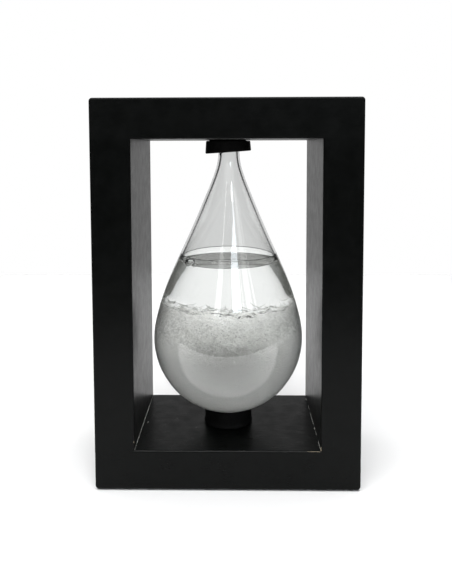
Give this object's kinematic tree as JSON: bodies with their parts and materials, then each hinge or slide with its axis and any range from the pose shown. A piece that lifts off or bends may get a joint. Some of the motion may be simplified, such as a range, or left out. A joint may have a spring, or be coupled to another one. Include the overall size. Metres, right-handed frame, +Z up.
{
  "type": "storm glass",
  "caption": "Teardrop of clear blown glass, part filled with solution and settled white crystals, held between a soft cap and a seat inside an upright black wooden frame.",
  "frame": {"origin": "centre of the footprint, on the surface that the felt feet stand on", "axes": "+Z up along the drop's axis, +X to the viewer's right across the frame's width, -Y towards the viewer through the frame's open front"},
  "size_m": [0.12, 0.0728, 0.1768],
  "materials": {
    "frame_paint": "satin black paint with the fine grain showing through",
    "dowel_wood": "bare turned hardwood",
    "foot_felt": "pressed black felt",
    "drop_glass": "clear fire-polished glass",
    "crystal_mass": "feathery white camphor crystals settled in liquid",
    "clear_solution": "clear liquid, faintly cloudy",
    "pale_silicone": "translucent pale silicone",
    "soft_black": "dull black closed-cell rubber",
    "black_adhesive": "cured black adhesive"
  },
  "bodies": {
    "root": {"bottom_board": "frame_paint", "top_board": "frame_paint", "left_board": "frame_paint", "right_board": "frame_paint", "dowel_bottom_left_front": "dowel_wood", "dowel_bottom_left_back": "dowel_wood", "dowel_bottom_right_front": "dowel_wood", "dowel_bottom_right_back": "dowel_wood", "dowel_top_left_front": "dowel_wood", "dowel_top_left_back": "dowel_wood", "dowel_top_right_front": "dowel_wood", "dowel_top_right_back": "dowel_wood", "felt_foot_left_front": "foot_felt", "felt_foot_left_back": "foot_felt", "felt_foot_right_front": "foot_felt", "felt_foot_right_back": "foot_felt", "glass_drop": "drop_glass", "camphor_crystals": "crystal_mass", "storm_solution": "clear_solution", "neck_stopper": "pale_silicone", "neck_cap": "soft_black", "neck_adhesive_collar": "black_adhesive", "cap_adhesive_pad": "black_adhesive", "bulb_seat": "soft_black", "bulb_adhesive_dot": "black_adhesive", "seat_adhesive_pad": "black_adhesive"}
  },
  "joints": []
}
